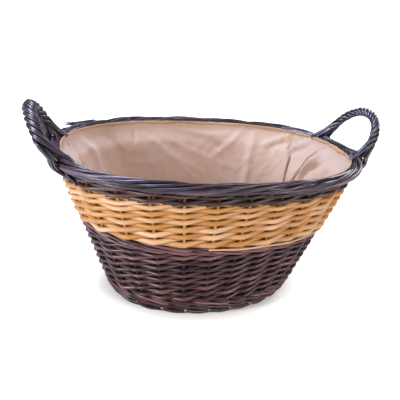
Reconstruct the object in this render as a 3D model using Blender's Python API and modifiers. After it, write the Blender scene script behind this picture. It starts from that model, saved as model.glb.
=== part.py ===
"""Oval willow laundry basket: staked and strand-woven walls in two tones, a rolled
rim, two roped bow handles and a stitched-in cotton liner.

Metres, +Z up. The origin is on the floor under the middle of the basket, +X runs
along its length and -Y is the front. Side stakes are numbered anticlockwise from
the middle of the front, and every height up the wall follows from the rods below.
"""

import math

import bmesh
import bpy
from mathutils import Vector

GAP = 0.0003
CUT_OVERRUN = 0.010
MERGE_DISTANCE = 0.00001

RIM_HALF_LENGTH = 0.300
RIM_HALF_WIDTH = 0.217
RIM_HEIGHT = 0.3025
RIM_ROLL = 0.0216
RIM_SQUARENESS = 2.31
RIM_TWISTS = 5
RIM_STATIONS = 76

FOOT_HALF_LENGTH = 0.190
FOOT_HALF_WIDTH = 0.137
FOOT_HEIGHT = 0.018
FOOT_FLAT = 0.0022
FOOT_SQUARENESS = 2.13
FOOT_TWISTS = 6
FOOT_STATIONS = 52

STRAND_GROOVE = 0.0018
STRANDS_IN_ROLL = 4

STAKE_COUNT = 28
STAKE_START_SHARE = 0.69
STAKE_DIAMETER = 0.005
STAKE_SETBACK = 0.0082
STAKE_SETOUT = 0.0017

WEAVE_CLEARANCE = 0.0005
BAND_GAP = 0.0006
TOP_CLEARANCE = 0.0030
DARK_BAND_SHARE = 0.553
DARK_ROD_SHARE = 0.84
DARK_WEAVERS = 8
NATURAL_BAND_SHARE = 0.388
NATURAL_ROD_SHARE = 0.955
NATURAL_WEAVERS = 6
TOP_ROD_SHARE = 0.88
ROD_END_SHARE = 0.35
JOIN_STAKE_COUNT = 9
JOIN_STEP_COUNT = 2
JOIN_PLACE_COUNT = 5

FOOT_WALE_ROD = 0.0055
MIDDLE_WALE_ROD = 0.0039
TOP_WALE_ROD = 0.0032
WALE_RODS = 3

BASE_MARGIN = 0.0008
BASE_ROD = 0.0054
BASE_ROWS = 14
LONG_STICK = 0.0046
LONG_STICK_SPACING = 0.0155
CROSS_STICK = 0.0052
CROSS_STICK_SPACING = 0.020
BASE_CORE_HALF_LENGTH = 0.076
BASE_CORE_HALF_WIDTH = 0.027
BASE_CLEARANCE = 0.0012
LONG_STICKS = 3
CROSS_STICKS = 7

HANDLE_HALF_SPAN = 0.0737
HANDLE_RISE = 0.0792
HANDLE_SQUARENESS = 2.26
HANDLE_LEAN = math.radians(24.0)
HANDLE_FOOT_X = 0.290
HANDLE_FOOT_SINK = 0.0065
HANDLE_KICK = 0.009
HANDLE_KICK_RISE = 0.030
HANDLE_CURL = 0.0046
HANDLE_TAIL = 0.004
BOW_DIAMETER = 0.0044
BOW_POINTS = 22
ROPE_STRAND = 0.0056
ROPE_STRANDS = 3
ROPE_CLEARANCE = 0.0008
ROPE_TURNS = 5
ROPE_POINTS_A_TURN = 8
ROPE_LIFT = 0.0080

LINER_THICKNESS = 0.0015
LINER_CLEARANCE = 0.0005
LINER_FLOOR_CORNER = 0.014
HEM_THICKNESS = 0.0012
HEM_START_SHARE = 0.25
HEM_END_SHARE = 0.95


def half(size):
    return size / 2


def wale_half_height(rod):
    """A wale is three rods deep where its strands cross between two stakes."""
    return rod + GAP + half(rod)


def reach_inside(rod):
    """How far the back of a rod passing behind a stake lies from the stake's axis."""
    return half(STAKE_DIAMETER) + WEAVE_CLEARANCE + rod


def rounds_pitch(height, weavers, rod_share):
    """The step from one round to the next where these weavers fill this height."""
    return height / (2 * weavers - 1 + rod_share)


RIM_CENTRE_HEIGHT = RIM_HEIGHT - half(RIM_ROLL)
RIM_LINE_HALF_LENGTH = RIM_HALF_LENGTH - half(RIM_ROLL)
RIM_LINE_HALF_WIDTH = RIM_HALF_WIDTH - half(RIM_ROLL)
FOOT_ROLL = FOOT_HEIGHT + FOOT_FLAT
FOOT_CENTRE_HEIGHT = FOOT_HEIGHT - half(FOOT_ROLL)

STAKE_FOOT_HEIGHT = FOOT_HEIGHT + GAP
STAKE_TO_ROLL = STAKE_SETBACK - half(STAKE_DIAMETER)
STAKE_TOP_HEIGHT = (
    RIM_CENTRE_HEIGHT - math.sqrt(half(RIM_ROLL) ** 2 - STAKE_TO_ROLL**2) - GAP
)

FOOT_WALE_HEIGHT = FOOT_HEIGHT + GAP + wale_half_height(FOOT_WALE_ROD)
TOP_WALE_HEIGHT = STAKE_TOP_HEIGHT - TOP_CLEARANCE - wale_half_height(TOP_WALE_ROD)
WOVEN_BOTTOM = FOOT_WALE_HEIGHT + wale_half_height(FOOT_WALE_ROD) + BAND_GAP
WOVEN_TOP = TOP_WALE_HEIGHT - wale_half_height(TOP_WALE_ROD) - BAND_GAP
MIDDLE_WALE_DEPTH = 2 * wale_half_height(MIDDLE_WALE_ROD)
ROUNDS_HEIGHT = WOVEN_TOP - WOVEN_BOTTOM - MIDDLE_WALE_DEPTH - 3 * BAND_GAP

DARK_PITCH = rounds_pitch(ROUNDS_HEIGHT * DARK_BAND_SHARE, DARK_WEAVERS, DARK_ROD_SHARE)
DARK_ROD = DARK_PITCH * DARK_ROD_SHARE
DARK_START = WOVEN_BOTTOM + half(DARK_ROD)
DARK_TOP = WOVEN_BOTTOM + ROUNDS_HEIGHT * DARK_BAND_SHARE
MIDDLE_WALE_HEIGHT = DARK_TOP + BAND_GAP + half(MIDDLE_WALE_DEPTH)

NATURAL_BOTTOM = DARK_TOP + MIDDLE_WALE_DEPTH + 2 * BAND_GAP
NATURAL_PITCH = rounds_pitch(
    ROUNDS_HEIGHT * NATURAL_BAND_SHARE, NATURAL_WEAVERS, NATURAL_ROD_SHARE
)
NATURAL_ROD = NATURAL_PITCH * NATURAL_ROD_SHARE
NATURAL_START = NATURAL_BOTTOM + half(NATURAL_ROD)

TOP_BOTTOM = NATURAL_BOTTOM + ROUNDS_HEIGHT * NATURAL_BAND_SHARE + BAND_GAP
TOP_PITCH = rounds_pitch(WOVEN_TOP - TOP_BOTTOM, 1, TOP_ROD_SHARE)
TOP_ROD = TOP_PITCH * TOP_ROD_SHARE
TOP_START = TOP_BOTTOM + half(TOP_ROD)

BASE_HALF_THICKNESS = half(CROSS_STICK) + BASE_CLEARANCE + BASE_ROD
BASE_HEIGHT = FOOT_HEIGHT + GAP + BASE_HALF_THICKNESS
BASE_SETBACK = reach_inside(FOOT_WALE_ROD) + BASE_MARGIN
BASE_HALF_LENGTH = FOOT_HALF_LENGTH + STAKE_SETOUT - BASE_SETBACK
BASE_HALF_WIDTH = FOOT_HALF_WIDTH + STAKE_SETOUT - BASE_SETBACK

LINER_SETBACK = reach_inside(NATURAL_ROD) + LINER_CLEARANCE
LINER_FLOOR = BASE_HEIGHT + BASE_HALF_THICKNESS + GAP
LINER_SHOULDER = TOP_WALE_HEIGHT + wale_half_height(TOP_WALE_ROD)


def collection(name):
    made = bpy.data.collections.new(name)
    bpy.context.scene.collection.children.link(made)
    return made


def material(name, colour, roughness):
    made = bpy.data.materials.new(name)
    made.use_nodes = True
    shader = made.node_tree.nodes["Principled BSDF"]
    shader.inputs["Base Color"].default_value = (*colour, 1.0)
    shader.inputs["Roughness"].default_value = roughness
    shader.inputs["Metallic"].default_value = 0.0
    made.diffuse_color = (*colour, 1.0)
    return made


def add_object(name, data, group, finish):
    data.materials.append(finish)
    made = bpy.data.objects.new(name, data)
    group.objects.link(made)
    return made


def as_guide(guide):
    """A cutter or guide is drawn as wire and is no piece of the basket."""
    guide.hide_render = True
    guide.display_type = "WIRE"
    return guide


def oval(half_length, half_width, squareness, count, start_share=0.0):
    """Points at equal steps round a superellipse, anticlockwise seen from above."""
    steps = 1440
    outline = []
    for step in range(steps + 1):
        angle = math.tau * step / steps
        along = math.cos(angle)
        across = math.sin(angle)
        x = half_length * math.copysign(abs(along) ** (2 / squareness), along)
        y = half_width * math.copysign(abs(across) ** (2 / squareness), across)
        outline.append(Vector((x, y, 0)))
    lengths = [0.0]
    for before, after in zip(outline, outline[1:]):
        lengths.append(lengths[-1] + (after - before).length)
    points = []
    for index in range(count):
        target = lengths[-1] * ((start_share + index / count) % 1.0)
        step = next(i for i in range(steps) if lengths[i + 1] >= target)
        share = (target - lengths[step]) / (lengths[step + 1] - lengths[step])
        points.append(outline[step].lerp(outline[step + 1], share))
    return points


def rod_curve(name, points, diameter, closed=False, upright=True, sides_level=0):
    """A rod as a poly curve: four sides at level 0, and two more for each level."""
    curve = bpy.data.curves.new(name, "CURVE")
    curve.dimensions = "3D"
    curve.twist_mode = "Z_UP" if upright else "MINIMUM"
    curve.bevel_depth = half(diameter)
    curve.bevel_resolution = sides_level
    curve.use_fill_caps = not closed
    spline = curve.splines.new("POLY")
    spline.points.add(len(points) - 1)
    spline.use_cyclic_u = closed
    spline.use_smooth = True
    for place, point in zip(spline.points, points):
        place.co = (*point, 1.0)
    return curve


def mesh_of(curve_object):
    """The curve's tube as one welded mesh, because a curve takes no Boolean."""
    bpy.context.view_layer.update()
    evaluated = curve_object.evaluated_get(bpy.context.evaluated_depsgraph_get())
    mesh = bpy.data.meshes.new_from_object(evaluated)
    welded = bmesh.new()
    welded.from_mesh(mesh)
    bmesh.ops.remove_doubles(welded, verts=welded.verts, dist=MERGE_DISTANCE)
    bmesh.ops.recalc_face_normals(welded, faces=welded.faces)
    welded.to_mesh(mesh)
    welded.free()
    bpy.data.objects.remove(curve_object)
    return mesh


def boolean(piece, operand, operation):
    modifier = piece.modifiers.new(operand.name, "BOOLEAN")
    modifier.object = operand
    modifier.operation = operation
    modifier.solver = "EXACT"


class Wall:
    """The sloping oval on which the side stakes stand, from the foot to the rim."""

    def __init__(self):
        self.feet = oval(
            FOOT_HALF_LENGTH + STAKE_SETOUT,
            FOOT_HALF_WIDTH + STAKE_SETOUT,
            FOOT_SQUARENESS,
            STAKE_COUNT,
            STAKE_START_SHARE,
        )
        self.heads = oval(
            RIM_LINE_HALF_LENGTH - STAKE_SETBACK,
            RIM_LINE_HALF_WIDTH - STAKE_SETBACK,
            RIM_SQUARENESS,
            STAKE_COUNT,
            STAKE_START_SHARE,
        )
        for foot, head in zip(self.feet, self.heads):
            foot.z = STAKE_FOOT_HEIGHT
            head.z = STAKE_TOP_HEIGHT

    def on_stake(self, index, height, outward=0.0):
        """A point beside a stake's axis, square to the wall's slope."""
        index %= STAKE_COUNT
        foot = self.feet[index]
        head = self.heads[index]
        point = foot.lerp(head, (height - foot.z) / (head.z - foot.z))
        after = self.heads[(index + 1) % STAKE_COUNT]
        along = after - self.heads[index - 1]
        return point + along.cross(head - foot).normalized() * outward

    def level_beside(self, index, height, outward):
        """A point at this level, as far from the stake's axis as on_stake's is."""
        index %= STAKE_COUNT
        point = self.on_stake(index, height, outward)
        stake = self.heads[index] - self.feet[index]
        return point + stake * ((height - point.z) / stake.z)

    def between(self, index, share, height, outward=0.0):
        """A point part of the way from one stake to the next."""
        here = self.on_stake(index, height, outward)
        return here.lerp(self.on_stake(index + 1, height, outward), share)


def make_stakes(group, wall, finish):
    """Straight side stakes, from the foot border up to the underside of the rim."""
    for index in range(STAKE_COUNT):
        ends = [wall.feet[index], wall.heads[index]]
        curve = rod_curve("side_stake", ends, STAKE_DIAMETER, sides_level=1)
        add_object(f"side_stake_{index + 1:02d}", curve, group, finish)


def make_weaver(name, number, start_height, pitch, rod, group, wall, finish):
    """One rod woven round twice, in front of one stake and behind the next.

    Passing behind two stakes where it climbs to its second round, it keeps the
    rounds alternating on an even number of stakes. Both cut ends stay in front.
    """
    join = JOIN_STAKE_COUNT + JOIN_STEP_COUNT * (number % JOIN_PLACE_COUNT)
    offset = half(STAKE_DIAMETER) + WEAVE_CLEARANCE + half(rod)
    low = start_height + 2 * number * pitch
    high = low + pitch
    points = [wall.between(join - 1, 1 - ROD_END_SHARE, low, offset * ROD_END_SHARE)]
    for step in range(2 * STAKE_COUNT):
        round_number = step // STAKE_COUNT
        side = 1 if (step + round_number) % 2 == 0 else -1
        height = high if round_number else low
        points.append(wall.on_stake(join + step, height, side * offset))
    points.append(wall.between(join - 1, ROD_END_SHARE, high, offset * ROD_END_SHARE))
    curve = rod_curve(name, points, rod)
    add_object(f"{name}_{number + 1}", curve, group, finish)


def make_wale(name, height, rod, group, wall, finish):
    """Three rods laid as one: each passes in front of two stakes and behind one.

    Out in front it starts above the rod before it and dips under the one after.
    With 28 stakes the third round ends where the first began, so the three rods
    follow one another round the wall as a single closed line.
    """
    offset = half(STAKE_DIAMETER) + WEAVE_CLEARANCE + half(rod)
    lift = rod + GAP
    strokes = ((-offset, 0.0), (offset, lift), (offset, -lift))
    points = []
    for step in range(WALE_RODS * STAKE_COUNT):
        outward, rise = strokes[step % WALE_RODS]
        points.append(wall.on_stake(step, height + rise, outward))
    curve = rod_curve(name, points, rod, closed=True)
    add_object(name, curve, group, finish)


def make_roll(name, line, diameter, twists, guides):
    """A border roll: strands laid side by side and twisted round an oval line."""
    radius = half(diameter)
    profile = bpy.data.curves.new(f"{name}_section", "CURVE")
    profile.dimensions = "2D"
    spline = profile.splines.new("POLY")
    corners = 3 * STRANDS_IN_ROLL
    spline.points.add(corners - 1)
    spline.use_cyclic_u = True
    for index, place in enumerate(spline.points):
        angle = math.tau * index / corners
        size = radius - STRAND_GROOVE if index % 3 == 0 else radius
        place.co = (size * math.cos(angle), size * math.sin(angle), 0, 1.0)
    section = as_guide(bpy.data.objects.new(profile.name, profile))
    guides.objects.link(section)

    curve = rod_curve(name, line, diameter, closed=True)
    curve.bevel_mode = "OBJECT"
    curve.bevel_object = section
    for index, place in enumerate(curve.splines[0].points):
        place.tilt = math.tau * twists * index / len(line)
    swept = bpy.data.objects.new(name, curve)
    guides.objects.link(swept)
    mesh = mesh_of(swept)
    mesh.shade_smooth()
    return mesh


def make_rim(group, guides, bows, finish):
    """The rolled border, with a socket for each foot of both handle bows."""
    line = oval(
        RIM_LINE_HALF_LENGTH, RIM_LINE_HALF_WIDTH, RIM_SQUARENESS, RIM_STATIONS
    )
    for point in line:
        point.z = RIM_CENTRE_HEIGHT
    mesh = make_roll("rim_border", line, RIM_ROLL, RIM_TWISTS, guides)
    rim = add_object("rim_border", mesh, group, finish)
    for number, path in enumerate(bows):
        deeper = [path[0] + (path[0] - path[1]).normalized() * GAP]
        deeper += path[1:-1]
        deeper += [path[-1] + (path[-1] - path[-2]).normalized() * GAP]
        curve = rod_curve(
            "socket", deeper, BOW_DIAMETER + 2 * GAP, upright=False, sides_level=1
        )
        drawn = bpy.data.objects.new("socket", curve)
        guides.objects.link(drawn)
        cutter = bpy.data.objects.new(f"bow_socket_{number + 1}", mesh_of(drawn))
        guides.objects.link(as_guide(cutter))
        boolean(rim, cutter, "DIFFERENCE")


def make_foot(group, guides, finish):
    """The foot border, cut level underneath so that the basket stands flat."""
    line = oval(
        FOOT_HALF_LENGTH - half(FOOT_ROLL),
        FOOT_HALF_WIDTH - half(FOOT_ROLL),
        FOOT_SQUARENESS,
        FOOT_STATIONS,
    )
    for point in line:
        point.z = FOOT_CENTRE_HEIGHT
    mesh = make_roll("foot_border", line, FOOT_ROLL, FOOT_TWISTS, guides)
    foot = add_object("foot_border", mesh, group, finish)

    floor = bmesh.new()
    bmesh.ops.create_cube(floor, size=1.0)
    reach = FOOT_FLAT + CUT_OVERRUN
    sides = Vector((FOOT_HALF_LENGTH + CUT_OVERRUN, FOOT_HALF_WIDTH + CUT_OVERRUN, 0))
    bmesh.ops.scale(floor, verts=floor.verts, vec=(2 * sides.x, 2 * sides.y, reach))
    bmesh.ops.translate(floor, verts=floor.verts, vec=(0, 0, -half(reach)))
    mesh = bpy.data.meshes.new("floor_cut")
    floor.to_mesh(mesh)
    floor.free()
    cutter = bpy.data.objects.new("floor_cut", mesh)
    guides.objects.link(as_guide(cutter))
    boolean(foot, cutter, "DIFFERENCE")


def base_ends():
    """The twenty stick ends, anticlockwise from the middle of the right side.

    Each is a pair: where the stick leaves the core and where it meets the edge.
    """
    count = 2 * (LONG_STICKS + CROSS_STICKS)
    edge = oval(BASE_HALF_LENGTH, BASE_HALF_WIDTH, FOOT_SQUARENESS, count)
    rows = [(i - LONG_STICKS // 2) * LONG_STICK_SPACING for i in range(LONG_STICKS)]
    columns = [
        (i - CROSS_STICKS // 2) * CROSS_STICK_SPACING for i in range(CROSS_STICKS)
    ]
    core = [Vector((BASE_CORE_HALF_LENGTH, y, 0)) for y in rows]
    core += [Vector((x, BASE_CORE_HALF_WIDTH, 0)) for x in reversed(columns)]
    core += [Vector((-BASE_CORE_HALF_LENGTH, y, 0)) for y in reversed(rows)]
    core += [Vector((x, -BASE_CORE_HALF_WIDTH, 0)) for x in columns]
    first = LONG_STICKS // 2
    ends = []
    for index in range(count):
        ends.append((core[(index + first) % count], edge[index]))
    for near, far in ends:
        near.z = BASE_HEIGHT
        far.z = BASE_HEIGHT
    return ends


def make_base_sticks(ends, group, guides, finish):
    """Long sticks threaded through split cross sticks: one rigid cross of sticks."""
    count = len(ends)
    reach = LONG_STICKS // 2
    pairs = []
    for index in range(-reach, reach + 1):
        pairs.append((index % count, (count // 2 - index) % count, LONG_STICK))
    for index in range(CROSS_STICKS):
        back = reach + 1 + index
        front = count - back
        pairs.append((back, front, CROSS_STICK))
    pieces = []
    for number, (one, other, diameter) in enumerate(pairs):
        near, far = ends[one]
        opposite_near, opposite_far = ends[other]
        path = [far, near, opposite_near, opposite_far]
        curve = rod_curve("stick", path, diameter, sides_level=1)
        drawn = bpy.data.objects.new("stick", curve)
        guides.objects.link(drawn)
        mesh = mesh_of(drawn)
        if number == 0:
            pieces.append(add_object("base_stick_frame", mesh, group, finish))
            continue
        piece = bpy.data.objects.new(f"base_stick_{number}", mesh)
        guides.objects.link(as_guide(piece))
        boolean(pieces[0], piece, "UNION")


def make_base_weave(ends, group, finish):
    """One rod wound outwards from the core, over one stick end and under the next."""
    count = len(ends)
    offset = half(CROSS_STICK) + BASE_CLEARANCE + half(BASE_ROD)
    points = []
    for step in range(BASE_ROWS * count):
        near, far = ends[step % count]
        side = 1 if (step + step // count) % 2 == 0 else -1
        share = (step + half(count)) / ((BASE_ROWS + 1) * count)
        points.append(near.lerp(far, share) + Vector((0, 0, side * offset)))
    curve = rod_curve("base_weave", points, BASE_ROD)
    add_object("base_weave", curve, group, finish)


def even_points(fine, count):
    """Points at equal steps along a line that is given by many points."""
    lengths = [0.0]
    for before, after in zip(fine, fine[1:]):
        lengths.append(lengths[-1] + (after - before).length)
    points = []
    step = 0
    for index in range(count):
        target = lengths[-1] * index / (count - 1)
        while step < len(fine) - 2 and lengths[step + 1] < target:
            step += 1
        share = (target - lengths[step]) / (lengths[step + 1] - lengths[step])
        points.append(fine[step].lerp(fine[step + 1], share))
    return points


def bow_point(side, across, rise):
    """A point of a bow's centre line at this height along its leaning plane."""
    out = HANDLE_FOOT_X + rise * math.sin(HANDLE_LEAN)
    out += HANDLE_CURL * (rise / HANDLE_RISE) ** 2
    if rise < HANDLE_KICK_RISE:
        out -= HANDLE_KICK * (1 - rise / HANDLE_KICK_RISE) ** 2
    height = RIM_HEIGHT - HANDLE_FOOT_SINK + rise * math.cos(HANDLE_LEAN)
    return Vector((side * out, across, height))


def bow_line(side):
    """The bow's fine centre line, from its tail in the rim, over, to the other."""
    steps = 360
    fine = [bow_point(side, HANDLE_HALF_SPAN, -HANDLE_TAIL)]
    for step in range(steps + 1):
        angle = math.pi * step / steps
        along = math.cos(angle)
        power = 2 / HANDLE_SQUARENESS
        across = HANDLE_HALF_SPAN * math.copysign(abs(along) ** power, along)
        rise = HANDLE_RISE * abs(math.sin(angle)) ** power
        fine.append(bow_point(side, across, rise))
    fine.append(bow_point(side, -HANDLE_HALF_SPAN, -HANDLE_TAIL))
    return fine


def make_rope(label, side, group, finish):
    """Strands roped round the bow, between its two feet on the rim."""
    clear = [p for p in bow_line(side) if p.z > RIM_HEIGHT + ROPE_LIFT]
    count = ROPE_TURNS * ROPE_POINTS_A_TURN + 1
    line = even_points(clear, count)
    radius = half(BOW_DIAMETER) + half(ROPE_STRAND) + ROPE_CLEARANCE
    lean = Vector((side * math.cos(HANDLE_LEAN), 0, -math.sin(HANDLE_LEAN)))
    for strand in range(ROPE_STRANDS):
        points = []
        for index, centre in enumerate(line):
            before = line[max(index - 1, 0)]
            after = line[min(index + 1, count - 1)]
            along = (after - before).normalized()
            inward = along.cross(lean).normalized()
            outward = inward.cross(along)
            angle = math.tau * (index / ROPE_POINTS_A_TURN + strand / ROPE_STRANDS)
            spoke = outward * math.cos(angle) + inward * math.sin(angle)
            points.append(centre + spoke * radius)
        curve = rod_curve("rope_strand", points, ROPE_STRAND, upright=False)
        add_object(f"{label}_handle_strand_{strand + 1}", curve, group, finish)


def make_handles(group, finish):
    """Both bows with their roping; returns the bows' paths for the rim's sockets."""
    paths = []
    for label, side in (("left", -1), ("right", 1)):
        path = even_points(bow_line(side), BOW_POINTS)
        curve = rod_curve(
            "bow", path, BOW_DIAMETER, upright=False, sides_level=1
        )
        add_object(f"{label}_handle_bow", curve, group, finish)
        make_rope(label, side, group, finish)
        paths.append(path)
    return paths


def ring_faces(mesh, lower, upper):
    """A band of faces between two rings of the same number of points."""
    count = len(lower)
    for index in range(count):
        after = (index + 1) % count
        mesh.faces.new((lower[index], lower[after], upper[after], upper[index]))


def solidified(name, rings, closed_floor, thickness, group, finish):
    """Cloth: an open skin lofted through the rings, thickened on its inner side."""
    skin = bmesh.new()
    rows = [[skin.verts.new(point) for point in ring] for ring in rings]
    for lower, upper in zip(rows, rows[1:]):
        ring_faces(skin, lower, upper)
    if closed_floor:
        skin.faces.new(list(reversed(rows[0])))
    mesh = bpy.data.meshes.new(name)
    skin.to_mesh(mesh)
    skin.free()
    mesh.shade_smooth()
    cloth = add_object(name, mesh, group, finish)
    solidify = cloth.modifiers.new("thickness", "SOLIDIFY")
    solidify.thickness = thickness
    solidify.offset = -1.0
    return cloth


def rim_inner_ring():
    """Where the liner meets the inner side of the rolled rim, at mid height."""
    setback = half(RIM_ROLL) + LINER_CLEARANCE
    ring = oval(
        RIM_LINE_HALF_LENGTH - setback,
        RIM_LINE_HALF_WIDTH - setback,
        RIM_SQUARENESS,
        STAKE_COUNT,
        STAKE_START_SHARE,
    )
    for point in ring:
        point.z = RIM_CENTRE_HEIGHT
    return ring


def make_liner(group, wall, finish, hem_finish):
    """The cotton liner: a flat floor, walls behind the weave and a flared top."""
    corner = LINER_FLOOR_CORNER
    eased = corner * (1 - math.cos(math.radians(45)))
    profile = (
        (LINER_FLOOR, corner),
        (LINER_FLOOR + eased, eased),
        (LINER_FLOOR + corner, 0.0),
        (LINER_SHOULDER, 0.0),
    )
    rings = []
    for height, inset in profile:
        setback = LINER_SETBACK + inset
        stakes = range(STAKE_COUNT)
        rings.append([wall.level_beside(i, height, -setback) for i in stakes])
    top = rim_inner_ring()
    rings.append(top)
    solidified("liner", rings, True, LINER_THICKNESS, group, finish)

    shoulder = rings[-2]
    starts = []
    finishes = []
    for index in range(STAKE_COUNT):
        along = shoulder[(index + 1) % STAKE_COUNT] - shoulder[index - 1]
        climb = top[index] - shoulder[index]
        inward = -along.cross(climb).normalized() * (LINER_THICKNESS + GAP)
        starts.append(shoulder[index].lerp(top[index], HEM_START_SHARE) + inward)
        finishes.append(shoulder[index].lerp(top[index], HEM_END_SHARE) + inward)
    hem = [starts, finishes]
    solidified("liner_hem", hem, False, HEM_THICKNESS, group, hem_finish)


def clear_scene():
    for item in list(bpy.data.objects):
        bpy.data.objects.remove(item)


def main():
    clear_scene()
    basket = collection("laundry_basket")
    guides = collection("cutters")
    wall = Wall()

    stake_willow = material("stake_willow", (0.50, 0.30, 0.12), 0.60)
    dark_willow = material("dark_willow", (0.085, 0.048, 0.048), 0.50)
    natural_willow = material("natural_willow", (0.72, 0.44, 0.20), 0.55)
    rim_willow = material("rim_willow", (0.10, 0.062, 0.070), 0.42)
    foot_willow = material("foot_willow", (0.080, 0.046, 0.044), 0.50)
    handle_willow = material("handle_willow", (0.095, 0.060, 0.066), 0.45)
    base_willow = material("base_willow", (0.45, 0.27, 0.13), 0.65)
    liner_cotton = material("liner_cotton", (0.62, 0.47, 0.37), 0.90)
    hem_cotton = material("hem_cotton", (0.66, 0.45, 0.28), 0.90)

    make_foot(basket, guides, foot_willow)
    ends = base_ends()
    make_base_sticks(ends, basket, guides, base_willow)
    make_base_weave(ends, basket, base_willow)
    make_stakes(basket, wall, stake_willow)
    make_wale("foot_wale", FOOT_WALE_HEIGHT, FOOT_WALE_ROD, basket, wall, foot_willow)
    for number in range(DARK_WEAVERS):
        make_weaver(
            "dark_weaver",
            number,
            DARK_START,
            DARK_PITCH,
            DARK_ROD,
            basket,
            wall,
            dark_willow,
        )
    make_wale(
        "middle_wale", MIDDLE_WALE_HEIGHT, MIDDLE_WALE_ROD, basket, wall, dark_willow
    )
    for number in range(NATURAL_WEAVERS):
        make_weaver(
            "natural_weaver",
            number,
            NATURAL_START,
            NATURAL_PITCH,
            NATURAL_ROD,
            basket,
            wall,
            natural_willow,
        )
    make_weaver(
        "top_weaver", 0, TOP_START, TOP_PITCH, TOP_ROD, basket, wall, dark_willow
    )
    make_wale("top_wale", TOP_WALE_HEIGHT, TOP_WALE_ROD, basket, wall, rim_willow)
    bows = make_handles(basket, handle_willow)
    make_rim(basket, guides, bows, rim_willow)
    make_liner(basket, wall, liner_cotton, hem_cotton)


main()
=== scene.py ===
import bisect
import math
import random

import bpy
from mathutils import Matrix, Vector, noise


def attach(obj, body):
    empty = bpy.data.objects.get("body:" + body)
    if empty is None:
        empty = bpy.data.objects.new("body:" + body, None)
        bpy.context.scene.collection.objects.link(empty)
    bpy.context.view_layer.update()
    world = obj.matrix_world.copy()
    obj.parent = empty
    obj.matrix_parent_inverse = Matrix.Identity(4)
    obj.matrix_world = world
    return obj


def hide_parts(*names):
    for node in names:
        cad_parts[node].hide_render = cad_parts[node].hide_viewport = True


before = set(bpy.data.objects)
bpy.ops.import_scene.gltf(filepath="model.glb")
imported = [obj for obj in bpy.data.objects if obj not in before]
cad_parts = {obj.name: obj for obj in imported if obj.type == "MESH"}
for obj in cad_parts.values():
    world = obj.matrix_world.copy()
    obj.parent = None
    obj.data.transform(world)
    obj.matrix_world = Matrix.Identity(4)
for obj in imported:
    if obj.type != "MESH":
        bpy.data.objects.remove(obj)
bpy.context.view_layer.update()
bpy.ops.object.select_all(action="DESELECT")


# Base sticks. Three long willow sticks are threaded through seven split cross sticks
# and splayed like spokes. They end at the oval edge, where the foot border holds them.


def running_lengths(points):
    """How far along the line through all of them each point lies."""
    lengths = [0.0]
    for before, after in zip(points, points[1:]):
        lengths.append(lengths[-1] + (after - before).length)
    return lengths


def point_along(points, lengths, target):
    """The point that lies this far along the line through all of them."""
    high = min(bisect.bisect_right(lengths, target), len(points) - 1)
    before, after = lengths[high - 1:high + 1]
    return points[high - 1].lerp(points[high], (target - before) / (after - before))


def heading(path, index, closed=False):
    """Which way a path runs at one of its points, told by the points beside it."""
    if closed:
        between = path[(index + 1) % len(path)] - path[index - 1]
    else:
        between = path[min(index + 1, len(path) - 1)] - path[max(index - 1, 0)]
    return between.normalized()


class Oval:
    """A level superellipse, measured off in equal steps of its own length."""

    STEPS = 1440

    def __init__(self, half_length, half_width, squareness, height):
        self.points = []
        for step in range(self.STEPS):
            angle = math.tau * step / self.STEPS
            along = math.cos(angle)
            across = math.sin(angle)
            x = half_length * math.copysign(abs(along) ** (2 / squareness), along)
            y = half_width * math.copysign(abs(across) ** (2 / squareness), across)
            self.points.append(Vector((x, y, height)))
        self.points.append(self.points[0].copy())
        self.lengths = running_lengths(self.points)

    def point(self, share):
        return point_along(self.points, self.lengths, self.lengths[-1] * (share % 1.0))

    def outward(self, share):
        along = self.point(share + 0.004) - self.point(share - 0.004)
        return Vector((along.y, -along.x, 0.0)).normalized()

    def around(self, share, height, angle, reach):
        """A point round a roll on this line: angle 0 is outermost, a quarter turn up."""
        point = self.point(share) + self.outward(share) * math.cos(angle) * reach
        point.z = height + math.sin(angle) * reach
        return point


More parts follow.
